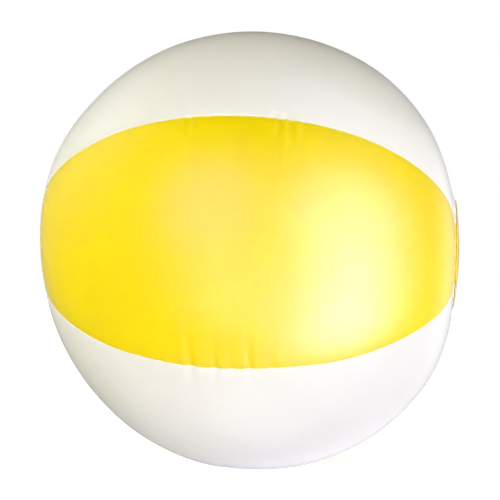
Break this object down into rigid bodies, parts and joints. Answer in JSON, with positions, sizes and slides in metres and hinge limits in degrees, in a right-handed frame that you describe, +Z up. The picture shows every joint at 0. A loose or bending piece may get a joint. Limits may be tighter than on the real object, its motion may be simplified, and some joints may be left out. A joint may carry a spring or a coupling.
{
  "type": "beach ball",
  "caption": "Blow-up ball of welded yellow and white film gores with end discs, resting on a flat spot, with a push-in air valve, plug and check flap.",
  "frame": {"origin": "the centre of the ball", "axes": "+X through the poles to the right-hand end disc, -Y out of the middle of the front yellow gore, +Y out of the valve, +Z up along the plane of the top seam, with the flat rest patch at the bottom facing -Z"},
  "size_m": [0.2648, 0.2792, 0.2773],
  "materials": {
    "yellow_film": "satin gloss vinyl film",
    "white_film": "satin gloss vinyl film",
    "valve_vinyl": "moulded soft vinyl, slightly cloudy"
  },
  "bodies": {
    "ball": {"yellow_gore_front": "yellow_film", "yellow_gore_rear_upper": "yellow_film", "yellow_gore_rear_lower": "yellow_film", "white_gore_upper": "white_film", "white_gore_lower": "white_film", "white_gore_rear": "white_film", "end_disc_right": "yellow_film", "end_disc_left": "yellow_film", "valve_flange": "valve_vinyl", "valve_skirt": "valve_vinyl"},
    "stem": {"valve_stem": "valve_vinyl", "plug_tether": "valve_vinyl"},
    "plug": {"valve_plug": "valve_vinyl"},
    "flap": {"check_flap": "valve_vinyl"}
  },
  "joints": [
    {"name": "stem_slide", "type": "slide", "parent": "ball", "child": "stem", "axis": [0, 1, 0], "range_m": [0, 0.0135], "deforming": ["valve_skirt"]},
    {"name": "plug_pull", "type": "slide", "parent": "stem", "child": "plug", "axis": [0, 1, 0], "range_m": [0, 0.009], "deforming": ["plug_tether"]},
    {"name": "flap_swing", "type": "hinge", "parent": "stem", "child": "flap", "pos_m": [0, 0.1256, 0.0044], "axis": [-1, 0, 0], "range_deg": [0, 60], "stiffness_Nm_per_rad": 0.00002}
  ]
}
